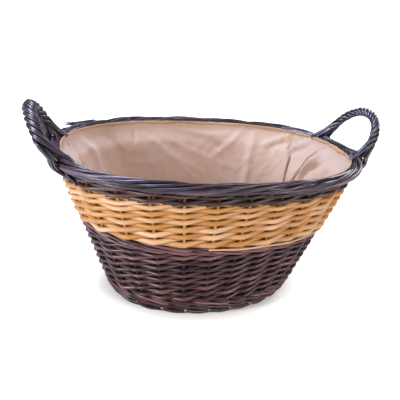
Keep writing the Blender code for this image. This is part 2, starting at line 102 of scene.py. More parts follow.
class Bundle:
    """Round willow rods gathered in one mesh.

    Each point keeps its place in the straight, unbent rod, in metres, so that the
    bark's grain follows every bend, and each rod keeps a tone of its own, to which
    painted shade may be added point by point.
    """

    SIDES = 10

    def __init__(self):
        self.points = []
        self.faces = []
        self.cut_faces = []
        self.grain = []
        self.tones = []
        self.rods = 0

    def lay(self, path, radii, tone, closed=False, shade=None, cut=None):
        count = len(path)
        first = len(self.points)
        self.rods += 1
        reach = 1.7 * self.rods
        side = None
        for index, centre in enumerate(path):
            along = heading(path, index, closed)
            if side is None:
                side = Vector((0, 0, 1)) if abs(along.z) < 0.8 else Vector((1, 0, 0))
            side = (side - along * side.dot(along)).normalized()
            other = along.cross(side)
            if index:
                reach += (centre - path[index - 1]).length
            for corner in range(self.SIDES):
                angle = math.tau * corner / self.SIDES
                u = math.cos(angle) * radii[index]
                v = math.sin(angle) * radii[index]
                rim = side * u + other * v
                if cut and index == 0:
                    rim += along * rim.dot(cut)
                self.points.append(centre + rim)
                self.grain.append((reach, u, v))
                # shade, where it is given, is painted shade that darkens the point's tone.
                self.tones.append(tone + (shade[index] if shade else 0.0))
        for index in range(count if closed else count - 1):
            low = first + index * self.SIDES
            high = first + (index + 1) % count * self.SIDES
            for corner in range(self.SIDES):
                beside = (corner + 1) % self.SIDES
                self.faces.append((low + corner, low + beside, high + beside, high + corner))
        if not closed:
            start = [first + corner for corner in range(self.SIDES)]
            end = [first + (count - 1) * self.SIDES + corner for corner in range(self.SIDES)]
            self.cut_faces += [len(self.faces), len(self.faces) + 1]
            self.faces += [tuple(reversed(start)), tuple(end)]

    def make(self, name, bark, cut_wood):
        mesh = new_mesh(name, self.points, self.faces, (bark, cut_wood))
        for index in self.cut_faces:
            mesh.polygons[index].material_index = 1
        grain = mesh.attributes.new("rod_grain", "FLOAT_VECTOR", "POINT")
        grain.data.foreach_set("vector", [value for place in self.grain for value in place])
        tone = mesh.attributes.new("rod_tone_and_painted_shade", "FLOAT", "POINT")
        tone.data.foreach_set("value", self.tones)
        mesh.set_sharp_from_angle(angle=math.radians(60))
        return add_object(name, mesh)


def new_mesh(name, points, faces, finishes):
    mesh = bpy.data.meshes.new(name)
    mesh.from_pydata(points, [], faces)
    for finish in finishes:
        mesh.materials.append(finish)
    mesh.shade_smooth()
    return mesh


def add_object(name, data):
    made = bpy.data.objects.new(name, data)
    bpy.context.scene.collection.objects.link(made)
    return made


def new_material(name):
    """A new material, with its node tree and its main shader."""
    made = bpy.data.materials.new(name)
    made.use_nodes = True
    return made, made.node_tree, made.node_tree.nodes["Principled BSDF"]


def feed(node, inputs):
    """Gives each input of a shader node its value, or the output that feeds it."""
    for key, value in inputs.items():
        if isinstance(value, bpy.types.NodeSocket):
            node.id_data.links.new(value, node.inputs[key])
        else:
            node.inputs[key].default_value = value


def add_node(tree, kind, inputs=None, **settings):
    made = tree.nodes.new("ShaderNode" + kind)
    for setting, value in settings.items():
        setattr(made, setting, value)
    feed(made, inputs or {})
    return made


def add_ramp(tree, shade, stops):
    """A colour ramp that reads shade. Each stop is a position and its colour."""
    made = add_node(tree, "ValToRGB", {"Fac": shade})
    elements = made.color_ramp.elements
    for element, (position, colour) in zip(list(elements), (stops[0], stops[-1])):
        element.position = position
        element.color = (*colour, 1)
    for position, colour in stops[1:-1]:
        elements.new(position).color = (*colour, 1)
    return made.outputs["Color"]


def willow_bark_group():
    """Masks for bark, in the straight rod's own metres: fine streaks along it,
    broader mottling, and the height of both."""
    group = bpy.data.node_groups.new("willow_bark", "ShaderNodeTree")
    for label, kind in (("Grain", "NodeSocketVector"), ("Tone", "NodeSocketFloat")):
        group.interface.new_socket(label, in_out="INPUT", socket_type=kind)
    for label in ("Shade", "Streak", "Height"):
        group.interface.new_socket(label, in_out="OUTPUT", socket_type="NodeSocketFloat")
    given = group.nodes.new("NodeGroupInput").outputs
    masks = []
    for stretch, detail in (((55.0, 1500.0, 1500.0), 3.0), ((28.0, 120.0, 120.0), 2.0)):
        drawn = add_node(group, "VectorMath", {0: given["Grain"], 1: stretch}, operation="MULTIPLY")
        inputs = {"Vector": drawn.outputs[0], "Scale": 1.0, "Detail": detail}
        masks.append(add_node(group, "TexNoise", inputs).outputs["Fac"])
    streak, mottle = masks
    part = add_node(group, "Math", {0: mottle, 1: 0.45}, operation="MULTIPLY")
    inputs = {0: given["Tone"], 1: 0.55, 2: part.outputs[0]}
    shade = add_node(group, "Math", inputs, operation="MULTIPLY_ADD")
    height = add_node(group, "Math", {0: mottle, 1: 0.6, 2: streak}, operation="MULTIPLY_ADD")
    results = {"Shade": shade.outputs[0], "Streak": streak, "Height": height.outputs[0]}
    feed(group.nodes.new("NodeGroupOutput"), results)
    return group


bark_masks = willow_bark_group()


def willow(name, tones, streaks, roughness, coat, glint=(1, 1, 1)):
    """Willow bark. Its tones, dark to light, change from rod to rod and along each.
    Streaks are the colour of its fine streaks and how strong they are, coat is how
    much sheen it has, and glint is the colour of what it reflects."""
    made, tree, shader = new_material(name)
    grain = add_node(tree, "Attribute", attribute_name="rod_grain").outputs["Vector"]
    # This attribute holds each rod's own tone with painted shade added to it.
    tone = add_node(tree, "Attribute", attribute_name="rod_tone_and_painted_shade").outputs["Fac"]
    bark = add_node(tree, "Group", {"Grain": grain, "Tone": tone}, node_tree=bark_masks)
    plain = add_ramp(tree, bark.outputs["Shade"], list(zip((0.22, 0.50, 0.80), tones)))
    streak = bark.outputs["Streak"]
    streak_colour, streak_share = streaks
    inputs = {"Value": streak, "From Min": 0.48, "From Max": 0.75, "To Max": streak_share}
    fine = add_node(tree, "MapRange", inputs)
    inputs = {"Factor": fine.outputs[0], "A": plain, "B": (*streak_colour, 1)}
    colour = add_node(tree, "Mix", inputs, data_type="RGBA")
    inputs = {"Value": streak, "To Min": roughness - 0.10, "To Max": roughness + 0.12}
    rough = add_node(tree, "MapRange", inputs)
    inputs = {"Height": bark.outputs["Height"], "Strength": 0.35, "Distance": 0.0004}
    bump = add_node(tree, "Bump", inputs)
    feed(shader, {"Base Color": colour.outputs["Result"], "Roughness": rough.outputs[0]})
    feed(shader, {"Normal": bump.outputs["Normal"], "Specular Tint": (*glint, 1)})
    feed(shader, {"Coat Weight": coat, "Coat Roughness": 0.24})
    return made


def cut_wood(name, pale, pith):
    """The end of a cut rod: pale wood round a darker pith."""
    made, tree, shader = new_material(name)
    place = add_node(tree, "TexCoord").outputs["Object"]
    grain = add_node(tree, "TexNoise", {"Vector": place, "Scale": 900.0})
    wood = add_ramp(tree, grain.outputs["Fac"], ((0.35, pith), (0.60, pale)))
    feed(shader, {"Base Color": wood, "Roughness": 0.8})
    return made


pale_cut = cut_wood("pale_cut_wood", (0.62, 0.44, 0.27), (0.34, 0.20, 0.10))
base_bark = willow(
    "base_buff_willow",
    tones=((0.24, 0.125, 0.045), (0.40, 0.225, 0.095), (0.54, 0.34, 0.16)),
    streaks=((0.22, 0.10, 0.035), 0.45),
    roughness=0.62,
    coat=0.05,
)

STICK_ENDS = 20
BASE_HEIGHT = 0.0275
BASE_EDGE = Oval(0.1824, 0.1294, 2.13, BASE_HEIGHT)
LONG_STICK_RADIUS = 0.0023
LONG_STICK_GAP = 0.0155
CROSS_STICK_RADIUS = 0.0026
CROSS_STICK_GAP = 0.020
CROSSING_HALF_LENGTH = 0.076
CROSSING_HALF_WIDTH = 0.027

long_rows = [LONG_STICK_GAP * row for row in (-1, 0, 1)]
cross_columns = [CROSS_STICK_GAP * column for column in range(-3, 4)]
core = [Vector((CROSSING_HALF_LENGTH, y, BASE_HEIGHT)) for y in long_rows]
core += [Vector((x, CROSSING_HALF_WIDTH, BASE_HEIGHT)) for x in reversed(cross_columns)]
core += [Vector((-CROSSING_HALF_LENGTH, y, BASE_HEIGHT)) for y in reversed(long_rows)]
core += [Vector((x, -CROSSING_HALF_WIDTH, BASE_HEIGHT)) for x in cross_columns]
stick_roots = [core[(index + 1) % STICK_ENDS] for index in range(STICK_ENDS)]
stick_tips = [BASE_EDGE.point(index / STICK_ENDS) for index in range(STICK_ENDS)]

chance = random.Random(11)
sticks = Bundle()
long_sticks = [(end, (10 - end) % STICK_ENDS) for end in (0, 1, 19)]
cross_sticks = [(end, STICK_ENDS - end) for end in range(2, 9)]
for both_ends, radius, rise in (
    (long_sticks, LONG_STICK_RADIUS, LONG_STICK_RADIUS * 0.9),
    (cross_sticks, CROSS_STICK_RADIUS, 0.0),
):
    for near, far in both_ends:
        path = [stick_tips[near], stick_roots[near], stick_roots[far], stick_tips[far]]
        bent = [a.lerp(b, step / 8) for a, b in zip(path, path[1:]) for step in range(8)]
        bent.append(path[-1])
        for place in bent:
            place.z += rise
        sticks.lay(bent, [radius] * len(bent), chance.random())
base_sticks = sticks.make("base_sticks", base_bark, pale_cut)
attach(base_sticks, "root")
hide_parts("base_stick_frame")


# Base weaving. Thin buff rods are woven out from the crossing of the sticks, over one
# stick and under the next, until they reach the oval edge.

BASE_ROD_RADIUS = 0.0023
BASE_ROWS = 17
STEPS_PER_STICK = 5

rows = Bundle()
lift = CROSS_STICK_RADIUS + BASE_ROD_RADIUS + 0.0001
for row in range(BASE_ROWS):
    path = []
    tone = chance.random()
    for step in range(STICK_ENDS * STEPS_PER_STICK + 1):
        place = row * STICK_ENDS + step / STEPS_PER_STICK
        share = (place + STICK_ENDS / 2) / ((BASE_ROWS + 1) * STICK_ENDS)
        low = int(place)
        ends = []
        for index in (low % STICK_ENDS, (low + 1) % STICK_ENDS):
            ends.append(stick_roots[index].lerp(stick_tips[index], share))
        point = ends[0].lerp(ends[1], place - low)
        side = math.cos(math.pi * place) * (1 if (low // STICK_ENDS) % 2 == 0 else -1)
        if (low + 1) // STICK_ENDS != low // STICK_ENDS:
            side = -1.0 if (low + low // STICK_ENDS) % 2 else 1.0
        path.append(point + Vector((0, 0, lift * side)))
    rows.lay(path, [BASE_ROD_RADIUS] * len(path), tone)
base_weaving = rows.make("base_weaving", base_bark, pale_cut)
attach(base_weaving, "root")
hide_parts("base_weave")


# Side stakes. Peeled willow rods stand round the base's edge and lean out evenly to
# the rim, and every other rod of the basket is worked round them. They show as short
# honey-coloured bits between the rods in front of them.

STAKES = 28
STAKE_START = 0.69
STAKE_FOOT = 0.0184
STAKE_LENGTH = 0.2636
STAKE_FOOT_RADIUS = 0.0027
STAKE_TOP_RADIUS = 0.0021
STAKE_STEPS = 24
# Heights between which the stakes' painted shade fades out, and where it comes back.
STAKE_SHADE_BELOW = (0.158, 0.168)
STAKE_SHADE_ABOVE = (0.258, 0.263)
WALL_FOOT = Oval(0.1917, 0.1387, 2.13, 0.0183)
WALL_HEAD = Oval(0.2810, 0.1980, 2.31, 0.2822)
WALL_STEPS = STAKES * 16

wall_feet = [WALL_FOOT.point(STAKE_START + i / WALL_STEPS) for i in range(WALL_STEPS)]
wall_heads = [WALL_HEAD.point(STAKE_START + i / WALL_STEPS) for i in range(WALL_STEPS)]
wall_outward = []
for index in range(WALL_STEPS):
    along = wall_heads[(index + 1) % WALL_STEPS] - wall_heads[index - 1]
    climb = wall_heads[index] - wall_feet[index]
    wall_outward.append(along.cross(climb).normalized())


def on_wall(place, height, outward=0.0):
    """A point of the wall: place counts stakes anticlockwise, whole on each stake,
    and outward is measured square to the wall from the line of the stakes."""
    exact = (place % STAKES) * WALL_STEPS / STAKES
    low = int(exact) % WALL_STEPS
    high = (low + 1) % WALL_STEPS
    share = exact - int(exact)
    foot = wall_feet[low].lerp(wall_feet[high], share)
    head = wall_heads[low].lerp(wall_heads[high], share)
    normal = wall_outward[low].lerp(wall_outward[high], share)
    point = foot.lerp(head, (height - foot.z) / (head.z - foot.z))
    return point + normal * outward


def height_ramp(tree, stops):
    """A colour ramp whose stops are heights above the floor, in metres."""
    place = add_node(tree, "TexCoord").outputs["Object"]
    height = add_node(tree, "SeparateXYZ", {0: place}).outputs["Z"]
    return add_ramp(tree, height, stops)


stake_bark = willow(
    "stake_honey_willow",
    tones=((0.50, 0.250, 0.060), (0.70, 0.385, 0.110), (0.82, 0.520, 0.190)),
    streaks=((0.42, 0.19, 0.04), 0.4),
    roughness=0.58,
    coat=0.08,
)
# The stakes are painted near black below the belt and mostly so above the buff band: painted shade,
# so that they read dark in the gaps of the dark weave.
tree = stake_bark.node_tree
shader = tree.nodes["Principled BSDF"]
peeled = shader.inputs["Base Color"].links[0].from_socket
stops = ((STAKE_SHADE_BELOW[0], (0, 0, 0)), (STAKE_SHADE_BELOW[1], (1, 1, 1)))
stops += ((STAKE_SHADE_ABOVE[0], (1, 1, 1)), (STAKE_SHADE_ABOVE[1], (0.25, 0.25, 0.25)))
inputs = {"Factor": height_ramp(tree, stops), "A": (0.034, 0.016, 0.008, 1), "B": peeled}
shaded_stake_colour = add_node(tree, "Mix", inputs, data_type="RGBA")
feed(shader, {"Base Color": shaded_stake_colour.outputs["Result"]})
stakes = Bundle()
chance = random.Random(23)
for stake in range(STAKES):
    path = []
    radii = []
    for step in range(STAKE_STEPS + 1):
        share = step / STAKE_STEPS
        path.append(on_wall(stake, STAKE_FOOT + share * STAKE_LENGTH))
        radii.append(STAKE_FOOT_RADIUS + (STAKE_TOP_RADIUS - STAKE_FOOT_RADIUS) * share)
    stakes.lay(path, radii, chance.random())
side_stakes = stakes.make("side_stakes", stake_bark, pale_cut)
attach(side_stakes, "root")
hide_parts(*[f"side_stake_{number:02d}" for number in range(1, 29)])


# Wales. Three thin dark rods are twined together round the stakes, each in front of
# two and behind one, starting above the rod before it. Two rounds lock the stakes in
# at the foot, and two more, a little higher at the left end, part dark wall from buff.

LEFT_END = 24.5
LEFT_END_REACH = 2.4
WALE_CLEARANCE = 0.0024
WALE_RODS = 7
WALE_RUN = 12
WALE_STEPS_PER_STAKE = 6
WALE_STEPS = WALE_RUN * WALE_STEPS_PER_STAKE + 2


def stakes_past(place, other):
    """How many stakes a place lies past another, the short way round."""
    return (place - other + STAKES / 2) % STAKES - STAKES / 2


def left_rise(place):
    """How much of the left end's extra height the wall's middle has at this place."""
    return math.exp(-((stakes_past(place, LEFT_END) / LEFT_END_REACH) ** 2))


def wale_rods(bundle, height, radius, chance, offset=0, left_lift=0.0):
    """One round of waling: three strands, laid as seven rods past twelve stakes each.

    A strand's strokes are in or out of the wall, and up or down within the wale.
    """
    strokes = ((-1.0, 0.0), (1.0, 1.0), (1.0, -1.0))
    depth = radius + WALE_CLEARANCE
    for number in range(WALE_RODS):
        path = []
        radii = []
        tone = chance.random()
        shift = chance.uniform(-0.0004, 0.0004)
        for step in range(WALE_STEPS + 1):
            place = number * WALE_RUN - 0.25 + step / WALE_STEPS_PER_STAKE
            low = math.floor(place)
            ease = place - low
            here = strokes[low % 3]
            there = strokes[(low + 1) % 3]
            swing = here[0] + (there[0] - here[0]) * (1 - math.cos(math.pi * ease)) / 2
            rise = here[1] + (there[1] - here[1]) * ease
            spot = Vector((place * 0.9, height * 90, number * 3.1))
            wander = noise.noise(spot) * 0.0006
            level = height + shift + wander + rise * radius * 1.5
            level += left_lift * left_rise(place + offset)
            path.append(on_wall(place + offset, level, swing * depth))
            radii.append(radius * (1.06 - 0.16 * step / WALE_STEPS))
        bundle.lay(path, radii, tone)


dark_bark = willow(
    "dark_willow_bark",
    tones=((0.008, 0.0022, 0.0026), (0.048, 0.0165, 0.0180), (0.225, 0.104, 0.100)),
    streaks=((0.32, 0.175, 0.160), 0.42),
    roughness=0.38,
    coat=0.18,
    glint=(0.96, 0.79, 0.94),
)
foot_wale = Bundle()
chance = random.Random(31)
wale_rods(foot_wale, 0.0240, 0.0024, chance)
wale_rods(foot_wale, 0.0328, 0.0023, chance, offset=1)
upsett = foot_wale.make("upsett_waling", dark_bark, pale_cut)
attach(upsett, "root")
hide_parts("foot_wale")

belt_wale = Bundle()
wale_rods(belt_wale, 0.1612, 0.0021, chance, offset=2, left_lift=0.0015)
wale_rods(belt_wale, 0.1687, 0.0021, chance, left_lift=0.0040)
belt = belt_wale.make("belt_waling", dark_bark, pale_cut)
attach(belt, "root")
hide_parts("middle_wale")


# Wall rods. The wall is woven the French way: one rod starts at every stake, thick
# end first, passes in front of one stake and behind the next, and climbs steadily to
# the right, so the rods lie thick and steep low in each band and thin at its top.


STEPS_PER_STAKE = 8
ROD_OVERHANG = 3
FRONT_CLEARANCE = 0.0017
BACK_CLEARANCE = 0.0022


def slanting_rods(
    bundle, stakes_run, start, climb, easing, butt, tip, painted_shade_depth, chance, left_lift=0.0
):
    """A band of rods, one from each stake, all alike but for small differences. The
    climb, in metres a stake, eases off, and each rod thins from its butt to its tip.

    A rod runs nearly straight from each stake to the next, and where it dips behind
    one its tone is darkened by painted shade.
    """
    for rod in range(STAKES):
        path = []
        radii = []
        shade = []
        tone = chance.random()
        shift = chance.uniform(-0.0006, 0.0006)
        girth = chance.uniform(0.93, 1.05)
        for step in range(-ROD_OVERHANG, stakes_run * STEPS_PER_STAKE + ROD_OVERHANG + 1):
            run = step / STEPS_PER_STAKE
            share = min(max(run / stakes_run, 0.0), 1.0)
            radius = (butt + (tip - butt) * share) * girth
            wave = math.cos(math.pi * run) + 0.11 * math.cos(3 * math.pi * run)
            wave = (wave + 0.03 * math.cos(5 * math.pi * run)) / 1.14
            level = start + climb * run - easing * run * run + shift
            level += left_lift * left_rise(rod + run) * (1 - share)
            spot = Vector((rod + run, level * 120, 7.3))
            level += noise.noise(spot * 0.55) * 0.0012
            depth = (radius + FRONT_CLEARANCE) * 0.55 if wave > 0 else radius + BACK_CLEARANCE
            path.append(on_wall(rod + run, level, -wave * depth))
            radii.append(radius * (1.0 - 0.04 * wave))
            # Painted shade: the tone is darkened where the rod dips behind a stake.
            shade.append(-painted_shade_depth * max(0.0, 0.5 + 0.5 * wave) ** 1.5)
        bundle.lay(path, radii, tone, shade=shade)


dark_rods = Bundle()
slanting_rods(
    dark_rods,
    stakes_run=16,
    start=0.0372,
    climb=0.0082,
    easing=0.000045,
    butt=0.0035,
    tip=0.0029,
    painted_shade_depth=0.60,
    chance=random.Random(47),
)
dark_wall = dark_rods.make("dark_wall_rods", dark_bark, pale_cut)
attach(dark_wall, "root")
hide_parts(*[f"dark_weaver_{number}" for number in range(1, 9)])

buff_bark = willow(
    "buff_peeled_willow",
    tones=((0.46, 0.190, 0.034), (0.59, 0.325, 0.145), (0.74, 0.490, 0.310)),
    streaks=((0.50, 0.24, 0.08), 0.45),
    roughness=0.46,
    coat=0.08,
)
collar_bark = willow(
    "collar_brown_willow",
    tones=((0.009, 0.003, 0.002), (0.046, 0.016, 0.011), (0.115, 0.050, 0.036)),
    streaks=((0.18, 0.08, 0.05), 0.40),
    roughness=0.44,
    coat=0.12,
)
buff_rods = Bundle()
slanting_rods(
    buff_rods,
    stakes_run=12,
    start=0.1725,
    climb=0.00866,
    easing=0.00013,
    butt=0.0046,
    tip=0.0036,
    painted_shade_depth=0.32,
    chance=random.Random(59),
    left_lift=0.0040,
)

# One thin pale rod also lies along the belt at the front.
STRAND_START = 0.85
STRAND_RUN = 5.25
STRAND_HEIGHT = 0.1715
STRAND_CLIMB = 0.0012
STRAND_RADIUS = 0.0017
STRAND_STEPS = 84
path = []
for step in range(STRAND_STEPS + 1):
    place = STRAND_START + STRAND_RUN * step / STRAND_STEPS
    level = STRAND_HEIGHT + STRAND_CLIMB * step / STRAND_STEPS
    path.append(on_wall(place, level, 0.0076 + 0.0010 * math.cos(math.pi * place)))
buff_rods.lay(path, [STRAND_RADIUS] * len(path), 0.75)
buff_wall = buff_rods.make("buff_wall_rods", buff_bark, pale_cut)
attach(buff_wall, "root")
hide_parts(*[f"natural_weaver_{number}" for number in range(1, 7)])

collar_rods = Bundle()
slanting_rods(
    collar_rods,
    stakes_run=3,
    start=0.2590,
    climb=0.0061,
    easing=0.0,
    butt=0.0036,
    tip=0.0032,
    painted_shade_depth=0.50,
    chance=random.Random(61),
)
collar = collar_rods.make("collar_rods", collar_bark, pale_cut)
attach(collar, "root")
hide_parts("top_wale", "top_weaver_1")


# Foot border. Thick dark rods are twisted along the lowest edge, each starting with a
# blunt cut end above the one before and passing down under the next. The basket
# stands on them, so they lie flat along the floor.

FOOT_LINE = Oval(0.1799, 0.1269, 2.13, 0.0)
FOOT_START = 0.735
FOOT_ROLL_HEIGHT = 0.0079
FOOT_ROLL_RADIUS = 0.0074
FOOT_RODS = 22
FOOT_ROD_RADIUS = 0.0037
FOOT_ROD_RUN = 3.1
FOOT_TURN_FROM = 16
FOOT_TURN = 202
FOOT_ROD_STEPS = 32
FOOT_CORE_STEPS = 120

foot_bark = willow(
    "foot_dark_willow",
    tones=((0.005, 0.002, 0.0028), (0.024, 0.0095, 0.012), (0.100, 0.050, 0.055)),
    streaks=((0.17, 0.10, 0.10), 0.36),
    roughness=0.38,
    coat=0.18,
    glint=(0.92, 0.80, 1.0),
)
border = Bundle()
chance = random.Random(67)
for rod in range(FOOT_RODS):
    path = []
    radii = []
    tone = chance.random()
    start = rod + chance.uniform(-0.08, 0.08)
    for step in range(FOOT_ROD_STEPS + 1):
        share = step / FOOT_ROD_STEPS
        place = (start + FOOT_ROD_RUN * share) / FOOT_RODS + FOOT_START
        angle = math.radians(FOOT_TURN_FROM - FOOT_TURN * share ** 0.9)
        reach = FOOT_ROLL_RADIUS - 0.0030 * max(0.0, share - 0.55) / 0.45
        reach += 0.0016 * max(0.0, 1 - share / 0.25)
        radius = FOOT_ROD_RADIUS * (1.04 - 0.24 * share)
        point = FOOT_LINE.around(place, FOOT_ROLL_HEIGHT, angle, reach)
        point.z = max(point.z, radius)
        path.append(point)
        radii.append(radius)
    facing = FOOT_LINE.outward(start / FOOT_RODS + FOOT_START) * 0.7
    border.lay(path, radii, tone, cut=facing)

# Three cores fill the roll: how far out and how high each lies, and its thickness.
cores = ((-0.0026, -0.0020, 0.0042), (0.0022, 0.0, 0.0042), (0.0040, 0.0060, 0.0032))
for out, lift, girth in cores:
    path = []
    for step in range(FOOT_CORE_STEPS):
        share = step / FOOT_CORE_STEPS
        point = FOOT_LINE.point(share) + FOOT_LINE.outward(share) * out
        point.z = FOOT_ROLL_HEIGHT + lift
        path.append(point)
    border.lay(path, [girth] * len(path), 0.2, closed=True)
foot_cut = cut_wood("foot_cut_wood", (0.44, 0.33, 0.27), (0.18, 0.11, 0.08))
foot_border = border.make("foot_border_rods", foot_bark, foot_cut)
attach(foot_border, "root")
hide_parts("foot_border")


# Rim. The dark border rods come up beside the stakes, bend over to the right and are
# rolled round one another: each runs along the outside, climbs slowly over the top
# and is tucked down inside, four or five stakes further on.

RIM_HEIGHT = 0.2917
RIM_LINE = Oval(0.2892, 0.2062, 2.31, RIM_HEIGHT)
RIM_ROLL_RADIUS = 0.0076
RIM_RODS = 33
RIM_ROD_RADIUS = 0.0030
RIM_ROD_RUN = (4.4, 5.4)
RIM_ROD_FOOT = 0.2660
RIM_ROD_BEND = 0.2750
RIM_ROD_STEPS = 48
RIM_CORE_STEPS = 160

# How far round the roll a rod lies, in degrees, at each share of its way along.
RIM_TURNS = ((0.0, -78), (0.12, -52), (0.30, -22), (0.52, 18), (0.67, 70), (0.80, 112), (1.0, 200))

rim_bark = willow(
    "rim_dark_willow",
    tones=((0.003, 0.0018, 0.0035), (0.029, 0.015, 0.020), (0.160, 0.102, 0.130)),
    streaks=((0.28, 0.195, 0.230), 0.40),
    roughness=0.33,
    coat=0.30,
    glint=(0.80, 0.78, 1.0),
)


def on_rim(place, angle, reach):
    """A point round the rim's roll, at a place that counts stakes as on the wall."""
    return RIM_LINE.around(STAKE_START + place / STAKES, RIM_HEIGHT, angle, reach)


def rim_line(knots):
    """Points round the rim's roll, each given as a place, degrees and a reach."""
    return [on_rim(place, math.radians(degrees), reach) for place, degrees, reach in knots]


def smooth_ends(path):
    """The same path with its corners eased off."""
    for _ in range(3):
        inner = [(a + b * 2 + c) / 4 for a, b, c in zip(path, path[1:], path[2:])]
        path = [path[0]] + inner + [path[-1]]
    return path


roll = Bundle()
chance = random.Random(71)
for rod in range(RIM_RODS):
    tone = chance.random()
    start = (rod + chance.uniform(-0.28, 0.28)) * STAKES / RIM_RODS
    run = chance.uniform(*RIM_ROD_RUN)
    sway = chance.uniform(-17, 17)
    girth = RIM_ROD_RADIUS * chance.uniform(0.80, 1.14)
    lift = chance.uniform(-0.0019, 0.0015)
    path = [on_wall(start - 0.19, RIM_ROD_FOOT, -0.0006)]
    path.append(on_wall(start - 0.14, RIM_ROD_BEND, 0.0004))
    radii = [girth * 0.8, girth * 0.85]
    knot = 0
    for step in range(RIM_ROD_STEPS + 1):
        share = step / RIM_ROD_STEPS
        while share > RIM_TURNS[knot + 1][0]:
            knot += 1
        (before, turned), (after, ahead) = RIM_TURNS[knot:knot + 2]
        angle = turned + (ahead - turned) * ((share - before) / (after - before))
        angle = math.radians(angle + sway * math.sin(math.pi * share))
        reach = RIM_ROLL_RADIUS + lift * math.sin(math.pi * share) ** 2
        reach -= 0.0034 * max(0.0, 0.12 - share) / 0.12
        reach -= 0.0030 * max(0.0, share - 0.92) / 0.08
        reach += 0.0004 * math.sin(share * 9 + rod * 2.3)
        path.append(on_rim(start + run * share, angle, reach))
        radii.append(girth * (1.06 - 0.22 * share))
    roll.lay(path[:2] + smooth_ends(path[2:]), radii, tone)

# Four cores fill the roll: the angle and reach at which each lies, and its thickness.
cores = ((-60, 0.0016, 0.0041), (-118, 0.0052, 0.0044), (152, 0.0058, 0.0044))
cores += ((186, 0.0078, 0.0036),)
for degrees, reach, girth in cores:
    places = [STAKES * step / RIM_CORE_STEPS for step in range(RIM_CORE_STEPS)]
    core = rim_line([(place, degrees, reach) for place in places])
    # The cores take the darkest tone: painted shade in the grooves between the strands.
    roll.lay(core, [girth] * len(core), 0.0, closed=True)
rim = roll.make("rim_rods", rim_bark, pale_cut)
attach(rim, "root")
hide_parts("rim_border")


# Handles. At each end a stout bow is pushed down into the rim, and six thin dark rods
# are roped round it. At both feet some of them pass down over the rim's outside and
# are threaded in under it, the rest over its inside. The left handle is bent.

HALF_SPAN = 0.0737
ARCH_FOOT_X = 0.290
ARCH_FOOT_Z = 0.2960
BOW_BULGE = 0.0046
BULGE_RISE = 0.0792
DRAWN_IN_BELOW = 0.030
FEET_DRAWN_IN = 0.009
BOW_STEPS = 360
BOW_POINTS = 72
BOW_RADIUS = 0.0038
ROPE_ROD_RADIUS = 0.0027
ROPE_RADIUS = 0.0062
ROPE_RODS = 6
ROPE_POINTS = 150
KNOT_STEPS = 6
ROPE_START = 0.320
FEET_FROM = 0.301
FEET_TO = 0.332

# Where the rods bend over the rim: the angle and reach of each knot on the way down.
OUTSIDE_BENDS = ((36, 0.0216), (4, 0.0184), (-26, 0.0154), (-54, 0.0134))
INSIDE_BENDS = ((96, 0.0130), (126, 0.0134))

handle_bark = willow(
    "handle_dark_willow",
    tones=((0.005, 0.003, 0.005), (0.030, 0.018, 0.025), (0.128, 0.090, 0.118)),
    streaks=((0.21, 0.160, 0.195), 0.42),
    roughness=0.34,
    coat=0.38,
    glint=(0.80, 0.78, 1.0),
)


def arch_point(side, across, rise, lean):
    """A point of a bow that leans out from the basket and is drawn in at its feet."""
    out = ARCH_FOOT_X + rise * math.sin(lean) + BOW_BULGE * (rise / BULGE_RISE) ** 2
    if rise < DRAWN_IN_BELOW:
        out -= FEET_DRAWN_IN * (1 - rise / DRAWN_IN_BELOW) ** 2
    return Vector((side * out, across, ARCH_FOOT_Z + rise * math.cos(lean)))


def evenly(points, count):
    """Points at equal steps along a line that is given by many points."""
    lengths = running_lengths(points)
    targets = [lengths[-1] * index / (count - 1) for index in range(count)]
    return [point_along(points, lengths, target) for target in targets]


def smooth_path(knots):
    """A smooth line through these knots, in equal steps from each to the next."""
    path = []
    for index in range(len(knots) - 1):
        a = knots[max(index - 1, 0)]
        b = knots[index]
        c = knots[index + 1]
        d = knots[min(index + 2, len(knots) - 1)]
        for step in range(KNOT_STEPS):
            t = step / KNOT_STEPS
            near = b * 2 + (c - a) * t
            bend = (a * 2 - b * 5 + c * 4 - d) * t * t
            far = (b * 3 - a - c * 3 + d) * t * t * t
            path.append((near + bend + far) * 0.5)
    path.append(knots[-1].copy())
    return path


def rim_place(point):
    """The place along the rim, counted in stakes, nearest to a point."""
    places = [count / 20 for count in range(STAKES * 20)]
    return min(places, key=lambda place: (on_rim(place, 0.0, 0.0) - point).length)


def bow_line(side, rise, shoulders, lean, far_share, off_centre):
    """Many points along a bow from its near foot to its far one. A higher shoulder is
    a squarer one, and far_share is the far leg's share of the half span."""
    line = []
    for step in range(BOW_STEPS + 1):
        angle = math.pi * step / BOW_STEPS
        power, half_span = 2 / shoulders[0], -HALF_SPAN
        if step > BOW_STEPS / 2:
            power, half_span = 2 / shoulders[1], HALF_SPAN * far_share
        across = half_span * abs(math.cos(angle)) ** power
        spot = arch_point(side, across, rise * abs(math.sin(angle)) ** power, lean)
        line.append(spot + Vector((0, off_centre, 0)))
    return line


def threaded_end(place, spoke, outward, away, chance):
    """Where a roping rod goes at the foot: a rod on the rope's outer side passes down
    over the rim's outside and in under it, and any other goes over the rim's inside."""
    along_rim = (on_rim(place + 0.2, 0, 0) - on_rim(place - 0.2, 0, 0)).normalized()
    sideways = spoke.dot(along_rim)
    outside = spoke.dot(outward) > -0.15
    bends = OUTSIDE_BENDS
    if not outside:
        bends = (*INSIDE_BENDS, (chance.uniform(148, 176), 0.0142))
    knots = []
    for number, bend in enumerate(bends):
        spread = sideways * (0.15 + 0.02 * number) + away * 0.06 * number
        knots += rim_line([(place + spread, *bend)])
    if outside:
        tucked = place + sideways * 0.22 + away * 0.27
        knots += [on_wall(tucked, 0.2740, 0.0078), on_wall(tucked, 0.2680, 0.0010)]
    return knots


